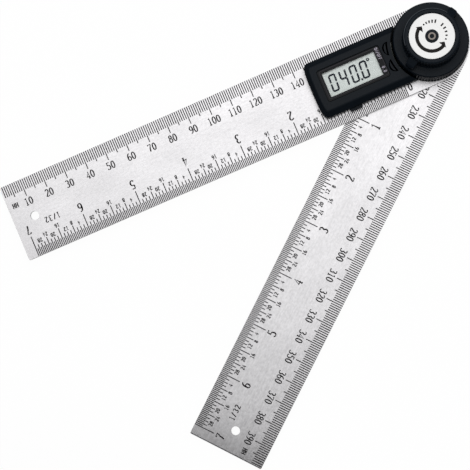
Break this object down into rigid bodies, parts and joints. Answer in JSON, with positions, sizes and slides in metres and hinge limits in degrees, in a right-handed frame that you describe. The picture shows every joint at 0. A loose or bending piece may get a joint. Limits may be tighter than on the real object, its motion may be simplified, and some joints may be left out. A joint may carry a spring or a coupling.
{
  "type": "digital angle finder",
  "caption": "Pair of graduated steel rules pivoted at one end, with a digital angle display on the upper rule and a clamping knob on the pivot, to measure and transfer angles.",
  "frame": {"origin": "on the pivot axis, in the plane of the back cap's flat face", "axes": "+Z along the pivot axis towards the knob; the upper arm runs along -X; +Y towards the upper arm's millimetre edge"},
  "size_m": [0.2175, 0.1598, 0.0233],
  "materials": {
    "steel_rule": "satin, with etched black graduations",
    "case_plastic": "fine matte moulding",
    "knob_plastic": "satin moulding",
    "key_plastic": "satin moulding",
    "label_plate": "satin silver, printed black",
    "window_plastic": "clear gloss",
    "display_glass": "grey-green reflective display",
    "plated_steel": "bright zinc plate",
    "cell_steel": "nickel plate",
    "brass": "machined",
    "rubber": "matte",
    "circuit_laminate": "solder resist",
    "chip_resin": "matte resin",
    "nylon": "natural nylon"
  },
  "bodies": {
    "upper_arm": {"upper_blade": "steel_rule", "bearing_bush": "brass", "case_base": "case_plastic", "case_cover": "case_plastic", "case_screw_1": "plated_steel", "case_screw_2": "plated_steel", "case_screw_3": "plated_steel", "case_screw_4": "plated_steel", "display_window": "window_plastic", "lcd_panel": "display_glass", "zebra_strip": "rubber", "circuit_board": "circuit_laminate", "controller_chip": "chip_resin", "power_switch": "chip_resin", "zero_switch": "chip_resin", "battery_contact_positive": "brass", "battery_contact_negative": "brass", "brake_ring": "rubber"},
    "lower_arm": {"lower_blade": "steel_rule", "back_cap": "case_plastic", "hub_screw_1": "plated_steel", "hub_screw_2": "plated_steel", "hub_screw_3": "plated_steel", "pivot_bolt": "plated_steel", "rotor_hub": "case_plastic", "blade_washer": "nylon", "encoder_rotor": "circuit_laminate", "rotor_retainer": "brass", "release_spring": "plated_steel", "stop_washer": "rubber", "knob_screw": "plated_steel"},
    "lock_knob": {"knob_body": "knob_plastic", "knob_insert": "brass", "knob_label": "label_plate"},
    "battery_drawer": {"battery_tray": "case_plastic", "coin_cell": "cell_steel"},
    "power_button": {"power_key": "key_plastic"},
    "zero_button": {"zero_key": "key_plastic"}
  },
  "joints": [
    {"name": "arm_swing", "type": "hinge", "parent": "upper_arm", "child": "lower_arm", "pos_m": [0, 0, 0.003], "axis": [0, 0, 1], "continuous": true},
    {"name": "knob_turn", "type": "hinge", "parent": "lower_arm", "child": "lock_knob", "pos_m": [0, 0, 0.012], "axis": [0, 0, 1], "range_deg": [0, 180]},
    {"name": "tray_slide", "type": "slide", "parent": "upper_arm", "child": "battery_drawer", "axis": [0, -1, 0], "range_m": [0, 0.022]},
    {"name": "power_press", "type": "slide", "parent": "upper_arm", "child": "power_button", "axis": [0, 0, -1], "range_m": [0, 0.0004], "stiffness_N_per_m": 300},
    {"name": "zero_press", "type": "slide", "parent": "upper_arm", "child": "zero_button", "axis": [0, 0, -1], "range_m": [0, 0.0004], "stiffness_N_per_m": 300}
  ]
}
